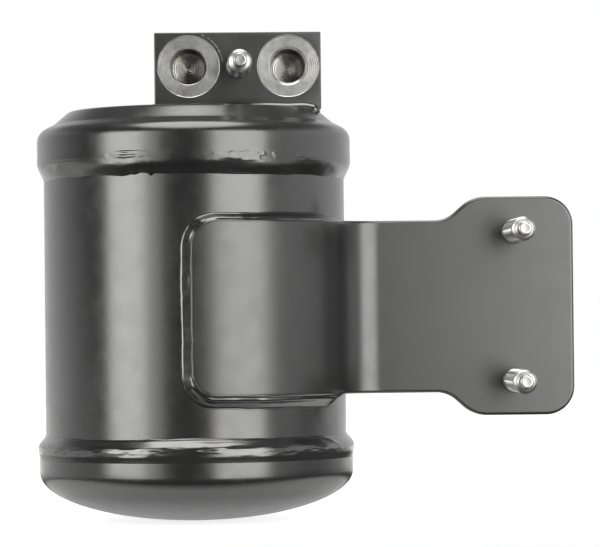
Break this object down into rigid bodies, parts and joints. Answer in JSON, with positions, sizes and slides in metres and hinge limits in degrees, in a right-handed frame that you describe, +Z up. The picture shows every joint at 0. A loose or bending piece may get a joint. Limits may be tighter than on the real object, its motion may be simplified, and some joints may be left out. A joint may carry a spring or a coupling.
{
  "type": "receiver drier",
  "caption": "Receiver drier: a welded black steel can that stores and dries refrigerant, with a drilled port block on its lid and a bent side bracket with mounting studs.",
  "frame": {"origin": "midway between the two bracket studs, on the front face of the bracket's pad", "axes": "-Y points the way the studs and ports face; +Z runs up the can's axis from its domed head to its lid; +X runs from the can towards the bracket's free end"},
  "size_m": [0.1806, 0.1081, 0.164],
  "materials": {
    "black_paint": "satin black paint over steel",
    "zinc_plate": "bright zinc plate",
    "bare_steel": "bare steel",
    "felt": "pressed felt",
    "desiccant": "packed molecular sieve beads"
  },
  "bodies": {
    "root": {"shell_tube": "black_paint", "top_cap": "black_paint", "bottom_cap": "black_paint", "top_seam_weld": "black_paint", "bottom_seam_weld": "black_paint", "port_block": "black_paint", "block_weld": "black_paint", "bracket_plate": "black_paint", "bracket_weld": "black_paint", "port_stud": "zinc_plate", "bracket_stud_upper": "zinc_plate", "bracket_stud_lower": "zinc_plate", "pickup_tube": "bare_steel", "strainer_collar": "bare_steel", "strainer_screen": "bare_steel", "strainer_cap": "bare_steel", "lower_plate": "bare_steel", "upper_plate": "bare_steel", "pack_spring": "bare_steel", "lower_filter_pad": "felt", "upper_filter_pad": "felt", "desiccant_bed": "desiccant"}
  },
  "joints": []
}
